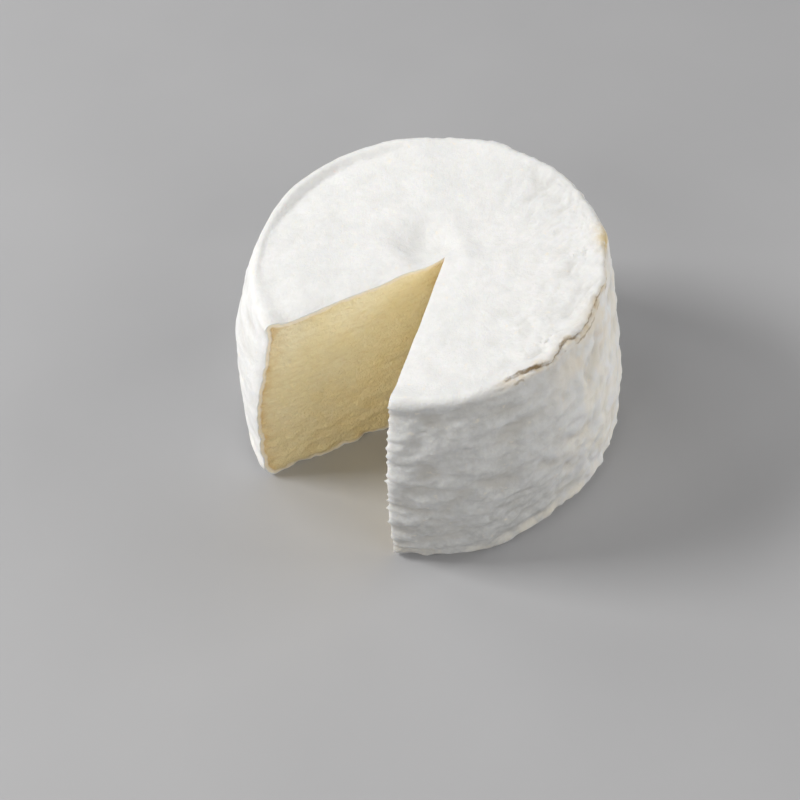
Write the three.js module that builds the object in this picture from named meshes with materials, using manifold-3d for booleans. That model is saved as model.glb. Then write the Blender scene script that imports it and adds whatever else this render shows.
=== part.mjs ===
// A tall soft-ripened cheese wheel with one wedge cut out of it.
//
// Millimetres, +Z up. The origin is the middle of the flat base, +X is to the right and +Y is away
// from a person who looks into the cut. The wheel grew its white rind and ripened as one piece, so
// it is one solid: a turned body, made a little uneven, with the wedge's space cut out.

import * as THREE from 'three';
import { mergeVertices } from 'three/addons/utils/BufferGeometryUtils.js';
import Module from 'manifold-3d';

// Driving dimensions of the whole wheel.
const HEIGHT = 66;
const FOOT_RADIUS = 57;
const SHOULDER_RADIUS = 50.6;
const BELLY = 3.8;
const FOOT_ROUNDING = 5;
const SHOULDER_ROUNDING = 3;

// The top face: a low lip of rind round its edge, and a slightly sunken middle.
const LIP_WIDTH = 5;
const LIP_RISE = 0.5;
const DISH_DEPTH = 0.7;

// How far the wheel is from a true turned shape. An out-of-round swelling has a number of lobes,
// a size, and the direction of one of its lobes.
const SWELLINGS = [
  { lobes: 2, size: 0.47, towards: 69 },
  { lobes: 3, size: 0.43, towards: 21 },
];
const TOP_TILT = 3;
const TOP_TILT_TOWARDS = 43;
const TOP_SHIFT = new THREE.Vector2(-0.6, -0.1);

// The cut: both knife cuts meet close to the wheel's middle. They lean a little, so that their foot
// lies further along +X than the place where they meet at the wheel's full height.
const CUT_APEX = new THREE.Vector2(4.1, 2.4);
const CUT_DIRECTIONS = [206.4, 252.4];
const CUT_LEAN = 2.3;

// Fineness of the solid.
const ROUND_STEPS = 72;
const WALL_STEPS = 9;
const EDGE_STEPS = 4;
const TOP_STEPS = 6;

const CHEESE = new THREE.MeshStandardMaterial({ color: 0xefece4, roughness: 0.85, metalness: 0 });

const radians = THREE.MathUtils.degToRad;

function wallRadius(height) {
  const part = height / HEIGHT;
  const straight = THREE.MathUtils.lerp(FOOT_RADIUS, SHOULDER_RADIUS, part);
  return straight + BELLY * 4 * part * (1 - part);
}

// A quarter-round edge of the profile, from one angle to another round its centre.
function edgePoints(centreRadius, centreHeight, rounding, fromAngle, toAngle) {
  const arc = new THREE.EllipseCurve(
    centreRadius, centreHeight, rounding, rounding, radians(fromAngle), radians(toAngle));
  return arc.getPoints(EDGE_STEPS);
}

function wallPoints() {
  const points = [];
  for (let step = 1; step < WALL_STEPS; step += 1) {
    const height = THREE.MathUtils.lerp(FOOT_ROUNDING, HEIGHT - SHOULDER_ROUNDING, step / WALL_STEPS);
    points.push(new THREE.Vector2(wallRadius(height), height));
  }
  return points;
}

// The top face in section, from the rounded shoulder in to the axis: down off the lip, then a
// shallow dish.
function topPoints(shoulderCentre) {
  const points = [];
  for (let step = 1; step <= TOP_STEPS; step += 1) {
    const inward = (step / TOP_STEPS) ** 1.6;
    const radius = shoulderCentre * (1 - inward);
    const offLip = THREE.MathUtils.smoothstep(shoulderCentre - radius, 0, LIP_WIDTH);
    const dish = DISH_DEPTH * (1 - (radius / shoulderCentre) ** 2);
    points.push(new THREE.Vector2(radius, HEIGHT - LIP_RISE * offLip - dish));
  }
  return points;
}

// The closed section of the uncut wheel, from the middle of the base to the middle of the top.
function section() {
  const footCentre = wallRadius(FOOT_ROUNDING) - FOOT_ROUNDING;
  const shoulderCentre = wallRadius(HEIGHT - SHOULDER_ROUNDING) - SHOULDER_ROUNDING;
  return [
    new THREE.Vector2(0, 0),
    ...edgePoints(footCentre, FOOT_ROUNDING, FOOT_ROUNDING, -90, 0),
    ...wallPoints(),
    ...edgePoints(shoulderCentre, HEIGHT - SHOULDER_ROUNDING, SHOULDER_ROUNDING, 0, 90),
    ...topPoints(shoulderCentre),
  ];
}

// Moves one point of the true turned shape to where it is on the uneven wheel. The base stays flat.
function settle(point) {
  const angle = Math.atan2(point.y, point.x);
  const radius = Math.hypot(point.x, point.y);
  let swelling = 0;
  for (const { lobes, size, towards } of SWELLINGS) {
    swelling += size * Math.cos(lobes * (angle - radians(towards)));
  }
  const part = point.z / HEIGHT;
  const rise = radius * Math.cos(angle - radians(TOP_TILT_TOWARDS)) * Math.tan(radians(TOP_TILT));
  const stretch = 1 + swelling / FOOT_RADIUS;
  point.set(
    point.x * stretch + TOP_SHIFT.x * part,
    point.y * stretch + TOP_SHIFT.y * part,
    point.z + rise * part,
  );
}

function unevenWheel() {
  const geometry = new THREE.LatheGeometry(section(), ROUND_STEPS);
  geometry.rotateX(Math.PI / 2);
  const places = geometry.attributes.position;
  const point = new THREE.Vector3();
  for (let index = 0; index < places.count; index += 1) {
    point.fromBufferAttribute(places, index);
    settle(point);
    places.setXYZ(index, point.x, point.y, point.z);
  }
  return geometry;
}

// The leaning prism that the two knife cuts take out, which passes the wheel on all outer sides.
function wedgeSpace() {
  const reach = 2 * FOOT_RADIUS;
  const outline = new THREE.Shape();
  outline.moveTo(CUT_APEX.x, CUT_APEX.y);
  for (const direction of CUT_DIRECTIONS) {
    outline.lineTo(
      CUT_APEX.x + reach * Math.cos(radians(direction)),
      CUT_APEX.y + reach * Math.sin(radians(direction)),
    );
  }
  const geometry = new THREE.ExtrudeGeometry(outline, { depth: 2 * HEIGHT, bevelEnabled: false });
  geometry.translate(0, 0, -HEIGHT / 2);
  geometry.applyMatrix4(new THREE.Matrix4().makeShear(0, 0, 0, 0, -CUT_LEAN / HEIGHT, 0));
  geometry.translate(CUT_LEAN, 0, 0);
  return geometry;
}

// A closed solid from a geometry, with the points that its faces share merged.
function solid(wasm, geometry) {
  const bare = geometry.clone();
  bare.deleteAttribute('normal');
  bare.deleteAttribute('uv');
  const merged = mergeVertices(bare, 1e-4);
  return new wasm.Manifold(new wasm.Mesh({
    numProp: 3,
    vertProperties: new Float32Array(merged.attributes.position.array),
    triVerts: new Uint32Array(merged.index.array),
  }));
}

function geometryOf(manifold) {
  const mesh = manifold.getMesh();
  const geometry = new THREE.BufferGeometry();
  geometry.setAttribute('position', new THREE.BufferAttribute(mesh.vertProperties, 3));
  geometry.setIndex(new THREE.BufferAttribute(mesh.triVerts, 1));
  return geometry;
}

// Puts the origin in the middle of the base, below the middle of the wheel's extent.
function centreOnBase(geometry) {
  geometry.computeBoundingBox();
  const middle = geometry.boundingBox.getCenter(new THREE.Vector3());
  geometry.translate(-middle.x, -middle.y, -geometry.boundingBox.min.z);
}

function cutWheel(wasm) {
  const geometry = geometryOf(solid(wasm, unevenWheel()).subtract(solid(wasm, wedgeSpace())));
  centreOnBase(geometry);
  geometry.computeVertexNormals();
  const mesh = new THREE.Mesh(geometry, CHEESE);
  mesh.name = 'cheese_wheel';
  return mesh;
}

const wasm = await Module();
wasm.setup();

const cheese = new THREE.Group();
cheese.add(cutWheel(wasm));

export default cheese;
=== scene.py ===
"""The looks of a tall soft-ripened cheese wheel with one wedge cut out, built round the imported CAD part.

Shapes are worked out in millimetres round the axis of the turned shape, as in the CAD part. They are
moved to the frame's origin and become metres when they are made into a mesh. The wheel is one closed
skin: the rind, a fan of half-planes round the leaning line where the two knife cuts meet, and the two
cut faces, which share their edges with the rind.
"""

import math

import bpy
import numpy as np
from mathutils import Matrix, Vector, noise


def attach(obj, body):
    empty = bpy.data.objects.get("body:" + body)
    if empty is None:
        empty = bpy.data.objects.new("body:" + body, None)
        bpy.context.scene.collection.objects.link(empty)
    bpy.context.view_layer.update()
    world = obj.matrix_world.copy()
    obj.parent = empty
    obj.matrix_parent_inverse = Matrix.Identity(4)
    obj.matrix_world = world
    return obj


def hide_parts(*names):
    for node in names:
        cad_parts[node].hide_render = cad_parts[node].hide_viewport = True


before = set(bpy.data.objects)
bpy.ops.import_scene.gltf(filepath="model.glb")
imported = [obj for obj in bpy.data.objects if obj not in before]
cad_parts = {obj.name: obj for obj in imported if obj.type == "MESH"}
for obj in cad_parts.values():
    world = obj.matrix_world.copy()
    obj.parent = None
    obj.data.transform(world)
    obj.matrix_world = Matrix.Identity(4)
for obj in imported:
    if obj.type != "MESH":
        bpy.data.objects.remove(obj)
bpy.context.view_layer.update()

NODE = "cheese_wheel"
MM = 0.001

# The turned shape, as in the CAD part.
HEIGHT = 66.0
FOOT_RADIUS = 57.0
SHOULDER_RADIUS = 50.6
BELLY = 3.8
FOOT_ROUNDING = 5.0
SHOULDER_ROUNDING = 3.0
LIP_WIDTH = 5.0
LIP_RISE = 0.5
DISH_DEPTH = 0.7

# Its unevenness: lobes, size and direction of each swelling, and the top's tilt and shift.
SWELLINGS = ((2, 0.47, 69.0), (3, 0.43, 21.0))
TOP_TILT = 3.0
TOP_TILT_TOWARDS = 43.0
TOP_SHIFT = np.array([-0.6, -0.1])

# The cuts. Angles run anticlockwise round the apex, from the right cut through the rind to the left.
CUT_APEX = np.array([4.1, 2.4])
RIGHT_CUT = 252.4 - 360.0
LEFT_CUT = 206.4
CUT_LEAN = 2.3

# Each cut: its column of the sweep, its direction, the side that it faces, its random seed, and how
# far the torn skin stands out at most.
CUTS = ((-1, LEFT_CUT, 1.0, 30, 0.7), (0, RIGHT_CUT, -1.0, 40, 1.4))

# The top face: a hollow and a ridge on either side of the apex, a groove inside the rim on the left
# and at the back, and the way the fine wrinkles run.
HOLLOW = np.array([-1.6, 8.2])
HOLLOW_DEPTH = 3.2
RIDGE = np.array([9.0, 6.0])
RIDGE_DIRECTION = 105.0
RIDGE_RISE = 1.1
GROOVE_DEPTH = 1.9
WRINKLE_DIRECTION = 52.0

# How far the wall stands out from the turned shape on the left, and how far it lies in on the right,
# beside the left cut, and at the foot in front.
FULL_SIDE = 0.7
FLAT_SIDE = 2.0
DENT_BESIDE_CUT = 1.5
DENT_AT_FOOT = 1.75

# The edge of the top's skin: angle round the apex, and how far below the rim it lies there.
SEAM = (
    (-106.0, 1.8), (-95.0, 1.2), (-84.0, -0.4), (-73.0, -2.0), (-68.0, -2.3), (-61.0, -1.2),
    (-56.0, 0.0), (-50.0, -2.3), (-47.0, -2.5), (-44.0, -0.9), (-37.0, -0.3), (-29.0, -1.4),
    (-22.0, -0.9), (-16.0, 0.2), (-8.0, -0.5), (30.0, -0.6), (200.0, 0.6),
)

# Stretches of the rim that stand out, or in: angle round the apex, width in degrees, and size.
RIM_STRETCHES = (
    (70.0, 9.0, 0.8), (42.0, 8.0, 0.4), (88.0, 6.0, -0.4), (166.0, 12.0, -0.7), (8.0, 8.0, 0.6),
)

# Open pits in each cut face.
PITS = 12

# Scales the painted shade on the front wall: how much of its white gives way to mid grey, which is most
# of it, and nearly all of it at the foot. It stands for shade under these lights, and stays in the colour
# under others.
FRONT_SHADE_SHARE = 0.84

# Fineness of the mesh: steps round the wheel, and along each stretch of a section.
ROUND_STEPS = 400
FLAT_STEPS = 45
CORNER_STEPS = 5
WALL_STEPS = 112

# How much closer the columns lie beside the cuts than round the back, from 0 to 1.
EASING = 0.3

# The rows where the wall starts and ends, halfway along the rounding of the rim and of the foot.
WALL_FIRST = FLAT_STEPS + CORNER_STEPS
WALL_LAST = WALL_FIRST + WALL_STEPS

# Faces that meet at a larger angle than this, in degrees, have a sharp edge between them.
SHARP_ANGLE = 50.0


def smoothstep(value, low, high):
    part = np.clip((value - low) / (high - low), 0.0, 1.0)
    return part * part * (3.0 - 2.0 * part)


def bump(value, centre, width):
    return np.exp(-(((value - centre) / width) ** 2))


def random_field(points, size, seed, octaves=1):
    """Smooth random values, about -1 to 1, that change over size, which may differ along each axis."""
    places = np.asarray(points) / size + 17.31 * seed
    flat = places.reshape(-1, 3).tolist()
    values = [noise.fractal(place, 1.0, 2.0, octaves) for place in flat]
    return np.array(values).reshape(places.shape[:-1])


def flat_places(first, second=0.0):
    """Places for a random field that changes along one axis or two, and not along the third."""
    still = np.zeros_like(first)
    return np.stack([first, still + second, still], -1)


# ---------------------------------------------------------------- the section and its sweep


def wall_radius(height):
    part = height / HEIGHT
    straight = FOOT_RADIUS + (SHOULDER_RADIUS - FOOT_RADIUS) * part
    return straight + BELLY * 4.0 * part * (1.0 - part)


def arc(centre, rounding, start, end, steps):
    """Radius and height of points on a rounded edge of the section."""
    angles = np.radians(np.linspace(start, end, steps + 1))
    return np.stack([centre[0] + rounding * np.cos(angles), centre[1] + rounding * np.sin(angles)], -1)


def spaced(line, steps, first_share):
    """Points along a line, closer at its start, where the first step is first_share of the mean."""
    lengths = np.concatenate([[0.0], np.cumsum(np.linalg.norm(np.diff(line, axis=0), axis=1))])
    parts = np.linspace(0.0, 1.0, steps + 1)
    wanted = lengths[-1] * (first_share * parts + (1.0 - first_share) * parts**2)
    return np.stack([np.interp(wanted, lengths, line[:, axis]) for axis in (0, 1)], -1)


def section():
    """Rows of the sweep from the apex of the top to the apex of the base: how much of the way from
    the apex to the turned surface a row lies, and the turned surface's radius and height there."""
    shoulder_height = HEIGHT - SHOULDER_ROUNDING
    shoulder = (wall_radius(shoulder_height) - SHOULDER_ROUNDING, shoulder_height)
    foot = (wall_radius(FOOT_ROUNDING) - FOOT_ROUNDING, FOOT_ROUNDING)
    heights = np.linspace(shoulder_height, FOOT_ROUNDING, 200)
    wall = np.concatenate([
        arc(shoulder, SHOULDER_ROUNDING, 45.0, 0.0, 20)[:-1],
        np.stack([wall_radius(heights), heights], -1),
        arc(foot, FOOT_ROUNDING, 0.0, -45.0, 20)[1:],
    ])
    outside = np.concatenate([
        arc(shoulder, SHOULDER_ROUNDING, 90.0, 45.0, CORNER_STEPS)[:-1],
        spaced(wall, WALL_STEPS, 0.7),
        arc(foot, FOOT_ROUNDING, -45.0, -90.0, CORNER_STEPS)[1:],
    ])
    parts = np.linspace(0.0, 1.0, FLAT_STEPS + 1)[:-1]
    inward = 0.45 * parts + 0.55 * (1.0 - (1.0 - parts) ** 2)
    share = np.concatenate([inward, np.ones(len(outside)), inward[::-1]])
    radius = np.concatenate([np.full(FLAT_STEPS, shoulder[0]), outside[:, 0], np.full(FLAT_STEPS, foot[0])])
    height = np.concatenate([np.full(FLAT_STEPS, HEIGHT), outside[:, 1], np.zeros(FLAT_STEPS)])
    return share, radius, height


def top_height(distance, edge):
    off_lip = smoothstep(edge - distance, 0.0, LIP_WIDTH)
    return HEIGHT - LIP_RISE * off_lip - DISH_DEPTH * (1.0 - (distance / edge) ** 2)


def settle(points):
    """Moves points of the true turned shape to where they are on the uneven wheel."""
    x, y, z = points[..., 0], points[..., 1], points[..., 2]
    angle = np.arctan2(y, x)
    swelling = sum(size * np.cos(lobes * (angle - math.radians(to))) for lobes, size, to in SWELLINGS)
    part = z / HEIGHT
    tilted = np.hypot(x, y) * np.cos(angle - math.radians(TOP_TILT_TOWARDS))
    stretch = 1.0 + swelling / FOOT_RADIUS
    return np.stack([
        x * stretch + TOP_SHIFT[0] * part,
        y * stretch + TOP_SHIFT[1] * part,
        z + tilted * math.tan(math.radians(TOP_TILT)) * part,
    ], -1)


def cut_apex(height):
    """Where the two cuts meet, in plan, at a height: they lean, so their foot lies further along +X."""
    lean = CUT_LEAN * (1.0 - height / HEIGHT)
    return np.stack([CUT_APEX[0] + lean, CUT_APEX[1] + 0.0 * lean], -1)


def swept_rind():
    """The smooth outer surface as a grid of points, rows by columns, with each column's angle."""
    share, radius, height = (values[:, None] for values in section())
    steps = np.linspace(0.0, 1.0, ROUND_STEPS + 1)
    eased = steps - EASING * np.sin(2.0 * np.pi * steps) / (2.0 * np.pi)
    degrees = RIGHT_CUT + (LEFT_CUT - RIGHT_CUT) * eased
    ahead = np.stack([np.cos(np.radians(degrees)), np.sin(np.radians(degrees))])
    apex = np.moveaxis(cut_apex(height), -1, 0) - TOP_SHIFT[:, None, None] * height / HEIGHT
    along = apex[0] * ahead[0] + apex[1] * ahead[1]
    reach = share * (-along + np.sqrt(along**2 - apex[0] ** 2 - apex[1] ** 2 + radius**2))
    x = apex[0] + reach * ahead[0]
    y = apex[1] + reach * ahead[1]
    z = height + 0.0 * x
    on_top = np.arange(len(z)) <= FLAT_STEPS
    z[on_top] = top_height(np.hypot(x, y)[on_top], radius[FLAT_STEPS])
    return settle(np.stack([x, y, z], -1)), degrees


def outward(points):
    """Unit normals of a grid whose rows by columns turn anticlockwise, seen from outside."""
    normals = np.cross(np.gradient(points, axis=0), np.gradient(points, axis=1))
    lengths = np.linalg.norm(normals, axis=-1, keepdims=True)
    normals = normals / np.maximum(lengths, 1e-9)
    normals[0] = (0.0, 0.0, 1.0)
    normals[-1] = (0.0, 0.0, -1.0)
    return normals


def unit(degrees):
    return np.array([math.cos(math.radians(degrees)), math.sin(math.radians(degrees))])


def facing(direction, side):
    """The level direction that a cut face looks in, out of the cheese."""
    return np.append(side * unit(direction + 90.0), 0.0)


class Rind:
    """The smooth rind and where each of its points lies, which its relief and colours are made of."""

    def __init__(self):
        self.points, self.degrees = swept_rind()
        self.normals = outward(self.points)
        _, radius, height = section()
        steps = np.hypot(np.diff(radius), np.diff(height))
        length = np.concatenate([[0.0], np.cumsum(steps)])
        plan = np.hypot(self.points[..., 0], self.points[..., 1])
        on_top = (np.arange(len(length)) < FLAT_STEPS)[:, None]
        edge = plan[FLAT_STEPS]
        below = (length - length[WALL_FIRST])[:, None] + 0.0 * plan
        # How far below the rim a point is, along the skin. It is negative on the top face.
        self.down = np.where(on_top, plan - edge + below[FLAT_STEPS], below)
        self.wall_length = length[WALL_LAST] - length[WALL_FIRST]
        self.across = np.radians(self.degrees) * FOOT_RADIUS + 0.0 * plan
        self.angle = self.degrees + 0.0 * plan
        self.on_top = 1.0 - smoothstep(self.down, -5.0, 1.0)
        self.on_base = smoothstep(self.down, self.wall_length - 3.0, self.wall_length + 3.0)
        self.on_wall = (1.0 - self.on_top) * (1.0 - self.on_base)
        self.to_right_cut = distance_to_cut(self.points, RIGHT_CUT)
        self.to_left_cut = distance_to_cut(self.points, LEFT_CUT)

    def between(self, low, high, fade):
        """1 between two angles round the wheel, fading to 0 outside them."""
        rise = smoothstep(self.angle, low - fade, low + fade)
        return rise * (1.0 - smoothstep(self.angle, high - fade, high + fade))


def distance_to_cut(points, direction):
    """How far points are, in plan, from the half-plane that a knife cut lies in."""
    ahead = unit(direction)
    offset = points[..., :2] - cut_apex(points[..., 2])
    along = np.clip(offset @ ahead, 0.0, None)
    return np.linalg.norm(offset - along[..., None] * ahead, axis=-1)


# ---------------------------------------------------------------- relief of the rind, in millimetres


def in_hollow(rind):
    """1 in the middle of the hollow beside the cuts' apex, falling to 0 round it."""
    away = np.linalg.norm(rind.points[..., :2] - HOLLOW, axis=-1)
    return bump(away + 1.6 * random_field(rind.points, 6.0, 33), 0.0, 7.0) * rind.on_top


def broad_relief(rind):
    """Slow unevenness all over, a hollow beside the cuts' apex and a ridge on its other side."""
    plan = rind.points[..., :2]
    aside = (plan - RIDGE) @ unit(RIDGE_DIRECTION + 90.0)
    ridge = bump(aside, 0.0, 3.0) * bump((plan - RIDGE) @ unit(RIDGE_DIRECTION), 0.0, 9.0)
    flat_side = bump(rind.angle, -13.0, 24.0) * bump(rind.down, 24.0, 24.0)
    full_side = bump(rind.angle, 187.0, 13.0) * bump(rind.down, 20.0, 16.0)
    beside_cut = np.exp(-rind.to_left_cut / 6.0) * bump(rind.down, 15.0, 12.0)
    swell = 0.40 * random_field(rind.points, 27.0, 1) + 0.34 * random_field(rind.points, 11.0, 2)
    sides = FULL_SIDE * full_side - FLAT_SIDE * flat_side - DENT_BESIDE_CUT * beside_cut
    top = RIDGE_RISE * ridge * rind.on_top
    return swell * (1.0 - rind.on_base) + sides + top - HOLLOW_DEPTH * in_hollow(rind)


def folds(rind, warp, size, size_on_right, seed, octaves=2):
    """Random folds, mostly level, with a size, width by height, and another on the wheel's right."""
    level = rind.down + 0.05 * rind.across + warp
    around = rind.across + 1.2 * warp
    kinds = []
    for wide, high in (size, size_on_right):
        places = np.stack([around / wide, level / high, rind.down / 50.0], -1)
        kinds.append(random_field(places, 1.0, seed, octaves))
    right = rind.between(-62.0, 120.0, 22.0)
    return (1.0 - right) * kinds[0] + right * kinds[1]


def wall_folds(rind):
    """Low lumps and folds round the wall, mostly level, with short creases; rounder on the right."""
    warp = 2.4 * random_field(rind.points, 19.0, 3) + 0.8 * random_field(rind.points, 6.0, 21)
    large = folds(rind, warp, (12.0, 6.4), (6.5, 7.5), 4)
    small = folds(rind, warp, (6.4, 3.3), (3.8, 4.4), 5)
    lumps = 1.25 * large + 0.66 * small
    fine = 0.12 * folds(rind, warp, (2.4, 1.5), (2.4, 1.7), 24)
    here = smoothstep(random_field(rind.points, 12.0, 6), -0.3, 0.3)
    crease = 0.38 * here * smoothstep(folds(rind, warp, (6.0, 1.5), (2.8, 2.4), 23, 1), 0.26, 0.6)
    calm = 1.0 - 0.6 * rind.between(150.0, 230.0, 25.0) - 0.40 * rind.between(-46.0, 132.0, 18.0)
    calm *= 0.45 + 0.55 * smoothstep(rind.down, 0.0, 9.0)
    return calm * rind.on_wall * (lumps + fine - crease)


def top_wrinkles(rind):
    """Slanting wrinkles of the top skin, which grow towards the right-hand rim."""
    warp = 2.6 * random_field(rind.points, 14.0, 7) + 1.1 * random_field(rind.points, 4.0, 25)
    ahead = rind.points[..., :2] @ unit(WRINKLE_DIRECTION)
    aside = rind.points[..., :2] @ unit(WRINKLE_DIRECTION + 90.0) + warp
    wrinkle = random_field(flat_places(ahead / 4.6, aside / 1.5), 1.0, 8, 3)
    fold = random_field(flat_places(ahead / 8.0, aside / 3.6), 1.0, 26, 2)
    edge = smoothstep(rind.down, -36.0, -3.0) * rind.between(-74.0, 56.0, 22.0)
    felt = random_field(rind.points, 3.4, 9, 2)
    crease = bump(wrinkle, 0.05, 0.09) * smoothstep(fold, -0.2, 0.3)
    grown = 0.15 + 1.0 * edge**1.5
    return rind.on_top * (grown * (0.40 * wrinkle + 0.50 * fold - 0.44 * crease) + 0.11 * felt)


def rim_lip(rind):
    """The rim's low lip, and the skin that drops inside it and rises slowly again, left and back.
    All of this is narrower and lower on the left."""
    here = rind.between(104.0, 192.0, 12.0) * rind.on_top
    narrow = 1.0 - 0.5 * smoothstep(rind.angle, 142.0, 184.0)
    wander = 0.7 * random_field(rind.points, 9.0, 10) + 0.4 * random_field(rind.points, 4.0, 29)
    inward = (wander - rind.down) / narrow
    deep = 1.0 + 0.5 * random_field(rind.points, 15.0, 31)
    drop = smoothstep(inward, 1.4, 5.0) * np.exp(-np.maximum(inward - 4.5, 0.0) / 9.5)
    return here * narrow * (0.4 * bump(inward, 1.0, 1.4) - GROOVE_DEPTH * deep * drop)


def rim_waves(rind):
    """The rim's outline is a little scalloped, and stands out or in by broader stretches."""
    near = np.exp(-np.abs(rind.down) / 6.0) * (0.35 + 0.65 * rind.between(-60.0, 96.0, 18.0))
    scallops = 0.28 * random_field(np.stack([rind.across] * 3, -1), 6.5, 27, 2)
    stretches = sum(size * bump(rind.angle, angle, width) for angle, width, size in RIM_STRETCHES)
    return near * scallops + np.exp(-np.abs(rind.down) / 9.0) * stretches


def low_dent(rind):
    """The foot lies further in, in front on the right, and less so nearer to the right cut."""
    dent = bump(rind.angle, -58.0, 20.0) - 0.4 * bump(rind.angle, -84.0, 7.0)
    dent *= bump(rind.down, rind.wall_length - 10.0, 17.0)
    return -DENT_AT_FOOT * dent


def seam_place(rind):
    """How far a point is past the wandering line where the top's skin ends over the wall's skin."""
    along = flat_places(rind.across)
    angles, levels = zip(*SEAM)
    wander = 0.30 * random_field(along, 5.0, 11) + 0.35 * random_field(along, 2.2, 12)
    return rind.down - np.interp(rind.angle, angles, levels) - wander


def seam_strength(rind):
    """How strongly the seam shows: fully where it is torn, and faintly or not at all elsewhere."""
    along = flat_places(rind.across)
    torn = rind.between(-74.0, -9.0, 5.0)
    broken = 0.85 + 0.5 * random_field(along, 5.0, 13)
    faint = 0.20 * smoothstep(random_field(along, 14.0, 14), 0.0, 0.4) * rind.between(-84.0, 120.0, 6.0)
    return np.clip(torn * broken, 0.0, 1.0) + faint * (1.0 - torn)


def seam_relief(rind):
    """The top's skin ends in a low rolled lip, and the wall's skin starts below it."""
    past = seam_place(rind)
    overlap = 0.45 * np.exp(np.minimum(past, 0.0) / 2.4) * (1.0 - smoothstep(past, -0.2, 0.4))
    roll = 0.45 * bump(past, -1.8, 1.3)
    ledge = -0.60 * np.exp(-np.maximum(past, 0.0) / 2.6) * smoothstep(past, -0.2, 0.5)
    crack = -0.30 * bump(past, 0.5, 0.5)
    return seam_strength(rind) * (overlap + roll + ledge + crack)


def drawn_edges(rind):
    """Where the knife drew the skin down over the cuts, and bent the wall's skin back beside them.
    The rim stands out a little more beside the cuts."""
    nearest = np.minimum(rind.to_right_cut, rind.to_left_cut)
    wave = 1.0 + 0.6 * random_field(rind.points, 7.0, 15)
    from_apex = np.linalg.norm(rind.points[..., :2] - CUT_APEX, axis=-1)
    held = smoothstep(from_apex, -6.0, 9.0) * (1.0 - 0.8 * smoothstep(rind.down, -9.0, -2.0))
    drawn = 1.05 * held * rind.on_top * np.exp(-nearest / 2.6) * wave
    bent = rind.on_wall * (0.9 * np.exp(-rind.to_right_cut / 0.9) + 0.4 * np.exp(-rind.to_left_cut / 0.7))
    corner = 1.3 * np.exp(-rind.to_left_cut / 7.0) + 0.8 * np.exp(-rind.to_right_cut / 18.0)
    corner *= bump(rind.down, 0.0, 2.7)
    return corner - drawn - bent


def base_relief(rind):
    """The base stands on its outer part and is a little hollow and uneven inside."""
    return -0.35 * rind.on_base * np.abs(random_field(rind.points, 9.0, 16, 2))


def foot_lip(rind):
    """The low lip round the foot, where the young cheese sank onto its mat."""
    lip = bump(rind.down, rind.wall_length - 2.6, 1.2)
    above = bump(rind.down, rind.wall_length - 6.4, 2.0)
    whole = 1.0 - np.exp(-rind.to_left_cut / 5.0)
    return whole * (0.6 * lip - 0.4 * above) * (1.0 + 0.5 * random_field(rind.points, 8.0, 28))


def rind_relief(rind):
    parts = (
        broad_relief, wall_folds, top_wrinkles, rim_lip, rim_waves, low_dent, seam_relief,
        drawn_edges, base_relief, foot_lip,
    )
    relief = sum(part(rind) for part in parts)
    relief[0] = relief[0, 0]
    relief[-1] = relief[-1, 0]
    return relief


# ---------------------------------------------------------------- the cut faces


def teeth(heights, seed, largest):
    """How far the torn rind stands out of a cut at each height: small teeth, closer together high up."""
    chance = np.random.default_rng(seed)
    out = np.zeros_like(heights)
    place = 1.5
    while place < HEIGHT - 3.0:
        size = largest * chance.uniform(0.15, 1.0)
        width = chance.uniform(0.7, 1.4)
        out = np.maximum(out, size * np.clip(1.0 - np.abs(heights - place) / width, 0.0, 1.0))
        place += chance.uniform(0.5, 1.5) * (2.0 + 4.5 * (1.0 - place / HEIGHT))
    return out


def frayed(rind, column, direction, side, seed, largest):
    """How the knife pulled the skin at one cut: teeth up the wall's edge, and a wavy bottom edge."""
    rows = np.zeros(len(rind.points))
    wall = slice(WALL_FIRST, WALL_LAST + 1)
    rows[wall] = teeth(rind.points[wall, column, 2], seed, largest)
    rows *= smoothstep(rind.down[:, column], 0.0, 1.2)
    away = distance_to_cut(rind.points, direction)
    ahead = (rind.points[..., :2] - cut_apex(rind.points[..., 2])) @ unit(direction)
    wavy = 1.1 * random_field(flat_places(ahead), 4.0, seed, 2) * smoothstep(ahead, 2.0, 9.0)
    bottom = wavy * np.exp(-rind.points[..., 2] / 2.5 - away / 2.0) * (1.0 - rind.on_top)
    out = rows[:, None] * np.exp(-away / 0.8) + bottom
    return out[..., None] * facing(direction, side)


def shares(first, second):
    """How far along a patch each of its steps lies, on the mean of two edge lines that face each other."""
    lengths = [np.linalg.norm(np.diff(line, axis=0), axis=1).cumsum() for line in (first, second)]
    return np.concatenate([[0.0], 0.5 * sum(length / length[-1] for length in lengths)])


def patch(top, bottom, inner, outer):
    """A smooth grid of points between four edge lines: top and bottom run outward, the others down."""
    across = shares(top, bottom)[:, None, None]
    down = shares(inner, outer)[None, :, None]
    ruled_down = (1.0 - down) * top[:, None] + down * bottom[:, None]
    ruled_across = (1.0 - across) * inner[None] + across * outer[None]
    upper = (1.0 - across) * top[0] + across * top[-1]
    lower = (1.0 - across) * bottom[0] + across * bottom[-1]
    return ruled_down + ruled_across - (1.0 - down) * upper - down * lower


def cut_lines(edge):
    """Splits a section's outline, from the top's apex to the base's, into top, wall and bottom."""
    return edge[:WALL_FIRST + 1], edge[WALL_FIRST:WALL_LAST + 1], edge[WALL_LAST:][::-1]


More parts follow.
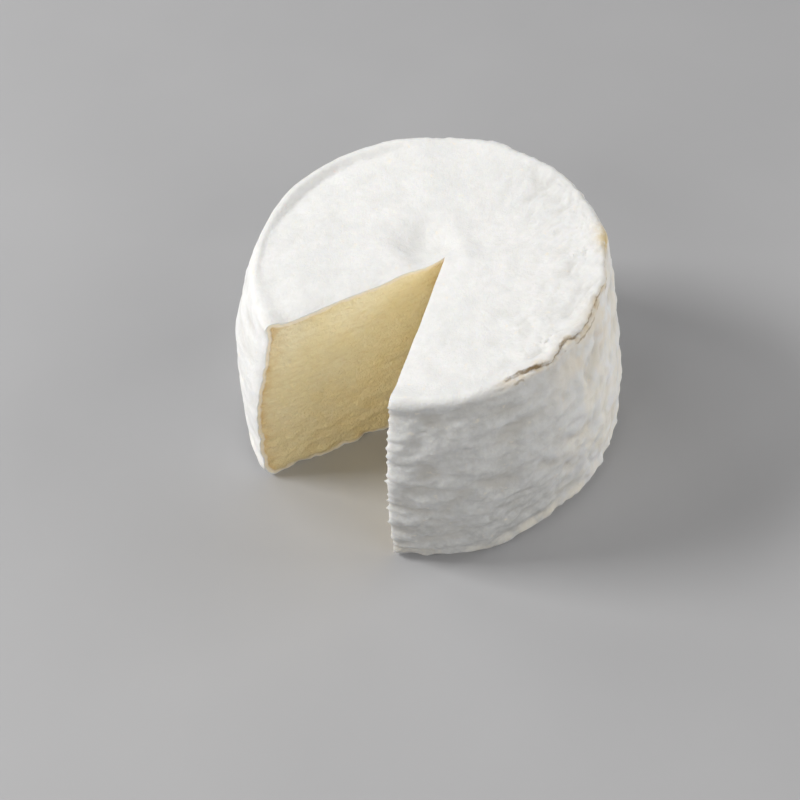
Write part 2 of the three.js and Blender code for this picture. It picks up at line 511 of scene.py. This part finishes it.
def knife_marks(ahead, height, seed):
    """Fine level ripples from the knife, a few open pits and a slight waviness, in millimetres."""
    flat = flat_places(ahead, height)
    ripple = random_field(flat_places(ahead / 5.0, height / 1.15), 1.0, seed, 2)
    drag = random_field(flat, 3.6, seed + 1, 3)
    wave = random_field(flat, 24.0, seed + 2)
    chance = np.random.default_rng(seed)
    pits = np.zeros_like(ahead)
    for _ in range(PITS):
        centre = chance.uniform((6.0, 6.0), (46.0, HEIGHT - 6.0))
        size = chance.uniform(0.6, 1.1)
        far = np.hypot((ahead - centre[0]) / 1.6, height - centre[1])
        pits = np.maximum(pits, bump(far, 0.0, size))
    low = 1.0 - smoothstep(height, 3.0, 44.0)
    return (0.14 + 0.40 * low) * ripple + (0.20 + 0.20 * low) * drag + 0.4 * wave - 0.45 * pits


def distance_to_line(points, line):
    return np.sqrt(((points[:, :, None, :] - line[None, None]) ** 2).sum(-1).min(-1))


def cut_face(edge, change, apex_line, direction, side, seed):
    """One cut face as a grid, how deep under the rind each of its points lies, and how ripe it is."""
    top, outer, bottom = cut_lines(edge)
    _, outer_change, bottom_change = cut_lines(change)
    points = patch(top, bottom, apex_line, outer)
    ahead = (points[..., :2] - cut_apex(points[..., 2])) @ unit(direction)
    under_wall = distance_to_line(points, outer)
    under_top = distance_to_line(points, top)
    depth = np.minimum(np.minimum(under_wall, under_top), distance_to_line(points, bottom))
    ripe = np.exp(-np.maximum(under_wall - 1.2, 0.0) / 2.2)
    ripe += 0.6 * np.exp(-under_top / 1.3) * smoothstep(ahead, 18.0, 44.0)
    ripe += 0.35 * bump(ahead, 1.0, 4.0)
    from_rim = smoothstep(np.minimum(depth, ahead), 0.0, 1.5)
    marks = from_rim * knife_marks(ahead, points[..., 2], seed)
    near_outer = np.exp(-np.linalg.norm(points - points[-1:], axis=-1) / 0.9)[..., None]
    near_bottom = np.exp(-np.linalg.norm(points - points[:, -1:], axis=-1) / 2.0)[..., None]
    only_bottom = bottom_change[:, None] - near_outer * bottom_change[-1]
    pulled = near_outer * outer_change + near_bottom * only_bottom
    return points + pulled + marks[..., None] * facing(direction, side), depth, ripe


# ---------------------------------------------------------------- one closed mesh


def quads(rows, columns, first, flipped):
    index = first + np.arange(rows * columns).reshape(rows, columns)
    corners = [index[:-1, :-1], index[1:, :-1], index[1:, 1:], index[:-1, 1:]]
    faces = np.stack(corners, -1).reshape(-1, 4)
    return faces[:, ::-1] if flipped else faces


def weld(points, faces):
    """Merges points that coincide. Returns which points are kept, and the faces without repeats."""
    _, kept, where = np.unique(np.round(points, 5), axis=0, return_index=True, return_inverse=True)
    where = where.reshape(-1)
    merged = []
    for face in where[faces].tolist():
        corners = [corner for step, corner in enumerate(face) if corner != face[step - 1]]
        if len(corners) > 2:
            merged.append(corners)
    return kept, merged


def closed_mesh(name, grids, flips, attributes):
    """A mesh in metres from grids that share their edges, with a number per point for each attribute."""
    points = np.concatenate([grid.reshape(-1, 3) for grid in grids])
    starts = np.cumsum([0] + [grid.shape[0] * grid.shape[1] for grid in grids])
    faces = np.concatenate([
        quads(*grid.shape[:2], start, flip) for grid, start, flip in zip(grids, starts, flips)
    ])
    kept, merged = weld(points, faces)
    mesh = bpy.data.meshes.new(name)
    mesh.from_pydata((points[kept] * MM).tolist(), [], merged)
    for key, values in attributes.items():
        layer = mesh.attributes.new(key, "FLOAT", "POINT")
        layer.data.foreach_set("value", values[kept].astype(np.float32))
    mesh.polygons.foreach_set("use_smooth", [True] * len(mesh.polygons))
    mesh.set_sharp_from_angle(angle=math.radians(SHARP_ANGLE))
    mesh.validate()
    return mesh


def rind_colours(rind, relief):
    """Numbers that the material turns into colour: seam, torn, blush, tan, cream, crease, which is painted
    shade in creases and the hollow, and painted shade on the front wall.
    """
    blush = rind.between(-50.0, -16.0, 11.0) * bump(rind.down, 6.5, 8.0)
    spot = bump(rind.angle, 3.5, 5.5) * bump(rind.down, 0.2, 2.8)
    foot = bump(rind.down, rind.wall_length - 2.5, 4.0)
    warm = rind.between(-54.0, 12.0, 12.0) * rind.on_wall
    # left, front, low, below_rim and fringe shape the painted shade on the front wall: most low down, a
    # little on the left, none at the cut edges.
    left = rind.between(170.0, 240.0, 20.0)
    front = 1.0 - rind.between(-50.0, 240.0, 28.0)
    low = 0.98 + 0.42 * smoothstep(rind.down, 25.0, rind.wall_length)
    below_rim = smoothstep(rind.down, -2.0, 2.0) * (1.0 - rind.on_base)
    fringe = np.exp(-np.minimum(rind.to_right_cut, rind.to_left_cut) / 1.1)
    return {
        "seam": np.clip(seam_place(rind), -8.0, 8.0),
        "torn": seam_strength(rind),
        "blush": blush,
        "tan": spot,
        "cream": np.maximum(foot * (0.4 + 0.6 * rind.between(-75.0, 10.0, 20.0)), 0.7 * warm),
        # Painted shade where the relief sinks in, and in the hollow beside the cuts' apex.
        "crease": np.clip(0.26 * in_hollow(rind) - 1.3 * relief, 0.0, 1.0),
        # Painted shade on the front wall below the rim.
        "painted_front_shade": below_rim * np.clip(front * low + 0.05 * left, 0.0, 1.35) * (1.0 - fringe),
    }


def cheese_mesh():
    rind = Rind()
    smooth = rind.points + rind_relief(rind)[..., None] * rind.normals
    smooth[..., 2] = np.maximum(smooth[..., 2], 0.0)
    parts = np.linspace(0.0, 1.0, WALL_STEPS + 1)[:, None]
    apex_line = smooth[0, 0] * (1.0 - parts) + smooth[-1, 0] * parts
    change = sum(frayed(rind, *cut) for cut in CUTS)
    grids = [smooth + change]
    depths = [np.zeros(smooth.shape[:2])]
    ripeness = [np.zeros(smooth.shape[:2])]
    for column, direction, side, seed, _ in CUTS:
        edges = (smooth[:, column], change[:, column], apex_line)
        points, depth, ripe = cut_face(*edges, direction, side, seed)
        grids.append(points)
        depths.append(depth)
        ripeness.append(ripe)
    shades = rind_colours(rind, wall_folds(rind) + top_wrinkles(rind))
    blank = np.zeros(sum(depth.size for depth in depths[1:]))
    attributes = {key: np.concatenate([values.ravel(), blank]) for key, values in shades.items()}
    attributes["depth"] = np.concatenate([depth.ravel() for depth in depths])
    attributes["ripe"] = np.concatenate([ripe.ravel() for ripe in ripeness])
    middle = 0.5 * (rind.points.min((0, 1)) + rind.points.max((0, 1))) * (1.0, 1.0, 0.0)
    grids = [grid - middle for grid in grids]
    return closed_mesh("cut_wheel", grids, (False, False, True), attributes)


# ---------------------------------------------------------------- materials


class Nodes:
    """Short ways to add nodes to a material's tree. Values may be numbers, colours or sockets."""

    def __init__(self, material):
        material.use_nodes = True
        self.tree = material.node_tree
        self.shader = self.tree.nodes["Principled BSDF"]
        self.place = self.tree.nodes.new("ShaderNodeTexCoord").outputs["Object"]

    def set(self, socket, value):
        if isinstance(value, bpy.types.NodeSocket):
            self.tree.links.new(value, socket)
        else:
            socket.default_value = value

    def add(self, kind, inputs, **settings):
        made = self.tree.nodes.new(kind)
        for name, value in settings.items():
            setattr(made, name, value)
        for key, value in inputs.items():
            self.set(made.inputs[key], value)
        return made

    def noise(self, size_mm, detail=2.0, stretch=(1.0, 1.0, 1.0)):
        moved = self.add("ShaderNodeMapping", {"Vector": self.place, "Scale": stretch}).outputs[0]
        inputs = {"Vector": moved, "Scale": 1.0 / (size_mm * MM), "Detail": detail}
        return self.add("ShaderNodeTexNoise", inputs).outputs["Fac"]

    def between(self, value, low, high, start=0.0, end=1.0):
        inputs = {"Value": value, "From Min": low, "From Max": high, "To Min": start, "To Max": end}
        return self.add("ShaderNodeMapRange", inputs, interpolation_type="SMOOTHSTEP").outputs[0]

    def math(self, operation, first, second=0.0):
        return self.add("ShaderNodeMath", {0: first, 1: second}, operation=operation).outputs[0]

    def mix(self, share, first, second):
        inputs = {0: share, 6: first, 7: second}
        return self.add("ShaderNodeMix", inputs, data_type="RGBA").outputs[2]

    def attribute(self, name):
        return self.add("ShaderNodeAttribute", {}, attribute_name=name).outputs["Fac"]


def rgb(red, green, blue):
    return (red, green, blue, 1.0)


def warped_seam(n):
    """The distance past the torn seam, made ragged at a scale finer than the mesh."""
    ragged = n.math("MULTIPLY", n.math("SUBTRACT", n.noise(1.9, 2.0), 0.5), 1.5)
    return n.math("ADD", n.attribute("seam"), ragged)


def line_at(n, value, place, half_width):
    """1 on a soft line where a value is near a place, and 0 beyond its half width."""
    off = n.math("ABSOLUTE", n.math("SUBTRACT", value, place))
    return n.between(off, 0.15 * half_width, half_width, 1.0, 0.0)


def torn_lines(n):
    """The broken brown line of the torn seam, and a second, shorter one below it."""
    seam = warped_seam(n)
    broken = n.between(n.noise(2.8, 2.0), 0.38, 0.58, 0.25, 1.0)
    below = n.math("MULTIPLY", line_at(n, seam, 2.4, 0.5), n.between(n.noise(5.0), 0.50, 0.60, 0.0, 0.6))
    both = n.math("MAXIMUM", n.math("MULTIPLY", line_at(n, seam, 0.3, 0.62), broken), below)
    return n.math("MULTIPLY", both, n.attribute("torn"))


def rind_colour(n, lines):
    """White mould, with painted shade in front and in its creases, creamy where it is thin and tan where
    torn.
    """
    colour = n.mix(n.between(n.noise(28.0), 0.35, 0.65), rgb(0.85, 0.85, 0.84), rgb(0.89, 0.885, 0.875))
    # Painted shade: mid grey over the front wall.
    colour = n.mix(n.math("MULTIPLY", n.attribute("painted_front_shade"), FRONT_SHADE_SHARE), colour, rgb(0.50, 0.50, 0.49))
    colour = n.mix(n.between(n.noise(6.0, 3.0), 0.42, 0.62, 0.0, 0.30), colour, rgb(0.74, 0.745, 0.74))
    colour = n.mix(n.between(n.noise(1.6, 3.0), 0.3, 0.75, 0.0, 0.35), colour, rgb(0.78, 0.78, 0.765))
    # Painted shade in the creases and the hollow, in a warm grey.
    colour = n.mix(n.math("MULTIPLY", n.attribute("crease"), 0.62), colour, rgb(0.52, 0.50, 0.46))
    patchy = n.between(n.noise(7.0, 3.0), 0.38, 0.62)
    blush = n.math("MULTIPLY", n.math("MULTIPLY", n.attribute("blush"), patchy), 0.45)
    colour = n.mix(blush, colour, rgb(0.66, 0.55, 0.43))
    spot = n.math("MULTIPLY", n.attribute("tan"), n.between(n.noise(2.2, 3.0), 0.28, 0.54))
    colour = n.mix(spot, colour, rgb(0.70, 0.53, 0.23))
    cream = n.math("MULTIPLY", n.math("MULTIPLY", n.attribute("cream"), patchy), 0.58)
    colour = n.mix(cream, colour, rgb(0.86, 0.79, 0.64))
    halo = n.math("MULTIPLY", line_at(n, warped_seam(n), 0.8, 2.6), n.attribute("torn"))
    halo = n.math("MULTIPLY", halo, n.between(n.noise(3.6, 2.0), 0.40, 0.62, 0.1, 0.6))
    colour = n.mix(halo, colour, rgb(0.64, 0.50, 0.29))
    return n.mix(n.math("MULTIPLY", lines, 0.95), colour, rgb(0.27, 0.18, 0.08))


def paste_colour(n):
    """Golden paste with fine mottling, painted shade low down, and riper and more orange near the rind."""
    colour = n.mix(n.between(n.noise(14.0, 3.0), 0.3, 0.7), rgb(0.97, 0.85, 0.55), rgb(0.98, 0.89, 0.64))
    # Painted shade: the paste darkens towards the foot of the cut.
    height = n.add("ShaderNodeSeparateXYZ", {0: n.place}).outputs[2]
    low = n.between(height, 4.0 * MM, 40.0 * MM, 0.5, 0.0)
    colour = n.mix(low, colour, rgb(0.86, 0.72, 0.42))
    colour = n.mix(n.between(n.noise(1.1, 4.0), 0.45, 0.75, 0.0, 0.18), colour, rgb(0.78, 0.62, 0.33))
    strokes = n.between(n.noise(1.7, 3.0, (0.45, 0.45, 1.5)), 0.46, 0.72, 0.0, 0.24)
    colour = n.mix(strokes, colour, rgb(0.76, 0.60, 0.31))
    uneven = n.between(n.noise(2.6, 3.0), 0.35, 0.65, 0.4, 1.0)
    return n.mix(n.math("MULTIPLY", n.attribute("ripe"), uneven), colour, rgb(0.76, 0.52, 0.21))


def cheese_material():
    material = bpy.data.materials.new("soft_ripened_cheese")
    n = Nodes(material)
    wander = n.math("MULTIPLY", n.math("SUBTRACT", n.noise(2.4, 3.0), 0.5), 1.3)
    depth = n.math("ADD", n.attribute("depth"), wander)
    inside = n.between(depth, 1.0, 1.7)
    lines = torn_lines(n)
    cut_skin = n.mix(n.between(depth, 0.15, 0.6, 0.0, 0.9), rind_colour(n, lines), rgb(0.97, 0.86, 0.68))
    colour = n.mix(inside, cut_skin, paste_colour(n))
    n.set(n.shader.inputs["Base Color"], colour)
    n.set(n.shader.inputs["Roughness"], n.between(inside, 0.0, 1.0, 0.86, 0.55))
    felt = n.math("ADD", n.noise(0.55, 3.0), n.math("MULTIPLY", n.noise(1.8, 3.0), 1.6))
    felt = n.math("SUBTRACT", felt, n.math("MULTIPLY", lines, 1.6))
    grain = n.math("MULTIPLY", n.noise(1.1, 4.0), 4.6)
    felt = n.math("ADD", felt, n.math("MULTIPLY", inside, grain))
    relief = n.add("ShaderNodeBump", {"Height": felt, "Distance": 0.22 * MM, "Strength": 0.6}).outputs[0]
    n.set(n.shader.inputs["Normal"], relief)
    n.shader.inputs["Subsurface Weight"].default_value = 0.12
    n.shader.inputs["Subsurface Radius"].default_value = (1.0, 0.75, 0.45)
    n.shader.inputs["Subsurface Scale"].default_value = 1.8 * MM
    n.shader.inputs["Specular IOR Level"].default_value = 0.3
    return material


def floor_material():
    material = bpy.data.materials.new("pale_floor")
    n = Nodes(material)
    colour = n.mix(n.noise(60.0, 3.0), rgb(0.40, 0.40, 0.41), rgb(0.43, 0.43, 0.44))
    n.set(n.shader.inputs["Base Color"], colour)
    n.set(n.shader.inputs["Roughness"], n.between(n.noise(20.0), 0.0, 1.0, 0.6, 0.75))
    return material


# ---------------------------------------------------------------- the scene

# Distances here are in metres.
FLOOR_REACH = 6.0
LIGHT_AIM = (0.0, 0.0, 0.03)
WORLD_STRENGTH = 0.05

# The area lights: name, place, size, power in watts, and colour.
LIGHTS = (
    ("key", (-1.0, 0.1, 0.85), 0.4, 12.3, (1.0, 0.995, 0.98)),
    ("key_back", (-0.8, 0.7, 0.9), 0.5, 2.6, (1.0, 1.0, 1.0)),
    ("right", (1.1, 0.15, 0.6), 0.7, 6.0, (1.0, 0.99, 0.97)),
    ("right_back", (0.8, 0.8, 0.7), 0.8, 1.0, (1.0, 1.0, 1.0)),
    ("front_right", (0.8, -0.8, 0.7), 0.8, 4.6, (1.0, 0.99, 0.97)),
    ("front_left", (-0.7, -0.8, 0.65), 0.7, 4.2, (1.0, 0.99, 0.97)),
)

# The camera's line of sight rises from its aim by the elevation. The camera stands at a distance along
# that line, then a little aside and up without turning, and rolls a little about it.
CAMERA_ELEVATION = 50.0
CAMERA_DISTANCE = 0.532
CAMERA_LENS = 76.5
CAMERA_ROLL = -1.1
CAMERA_ASIDE = -0.00964
CAMERA_RAISED = 0.00247
CAMERA_AIM = Vector((0.0, 0.0004, 0.0))


def link(thing):
    bpy.context.scene.collection.objects.link(thing)
    return thing


def make_cheese():
    mesh = cheese_mesh()
    mesh.materials.append(cheese_material())
    cheese = link(bpy.data.objects.new("cut_cheese_wheel", mesh))
    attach(cheese, "root")
    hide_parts(NODE)


def make_floor():
    mesh = bpy.data.meshes.new("floor")
    sides = ((-1, -1), (1, -1), (1, 1), (-1, 1))
    corners = [(x * FLOOR_REACH, y * FLOOR_REACH, 0.0) for x, y in sides]
    mesh.from_pydata(corners, [], [(0, 1, 2, 3)])
    mesh.materials.append(floor_material())
    link(bpy.data.objects.new("floor", mesh))


def area_light(name, place, size, power, colour):
    data = bpy.data.lights.new(name, "AREA")
    data.size = size
    data.energy = power
    data.color = colour
    lamp = link(bpy.data.objects.new(name, data))
    lamp.location = place
    lamp.rotation_euler = (Vector(LIGHT_AIM) - Vector(place)).to_track_quat("-Z", "Y").to_euler()


def make_lights():
    for light in LIGHTS:
        area_light(*light)
    world = bpy.data.worlds.new("studio")
    world.use_nodes = True
    world.node_tree.nodes["Background"].inputs["Color"].default_value = rgb(1.0, 1.0, 1.0)
    world.node_tree.nodes["Background"].inputs["Strength"].default_value = WORLD_STRENGTH
    bpy.context.scene.world = world
    bpy.context.scene.view_settings.view_transform = "Standard"


def make_camera():
    rise = math.radians(CAMERA_ELEVATION)
    back = Vector((0.0, -math.cos(rise), math.sin(rise)))
    turn = Matrix.Rotation(math.radians(CAMERA_ROLL), 4, back)
    right = turn @ Vector((1.0, 0.0, 0.0))
    up = turn @ Vector((0.0, math.sin(rise), math.cos(rise)))
    camera = link(bpy.data.objects.new("camera", bpy.data.cameras.new("camera")))
    camera.data.lens = CAMERA_LENS
    place = CAMERA_AIM + back * CAMERA_DISTANCE + right * CAMERA_ASIDE + up * CAMERA_RAISED
    axes = Matrix((right, up, back)).transposed()
    camera.matrix_world = Matrix.Translation(place) @ axes.to_4x4()
    bpy.context.scene.camera = camera


make_cheese()
make_floor()
make_lights()
make_camera()
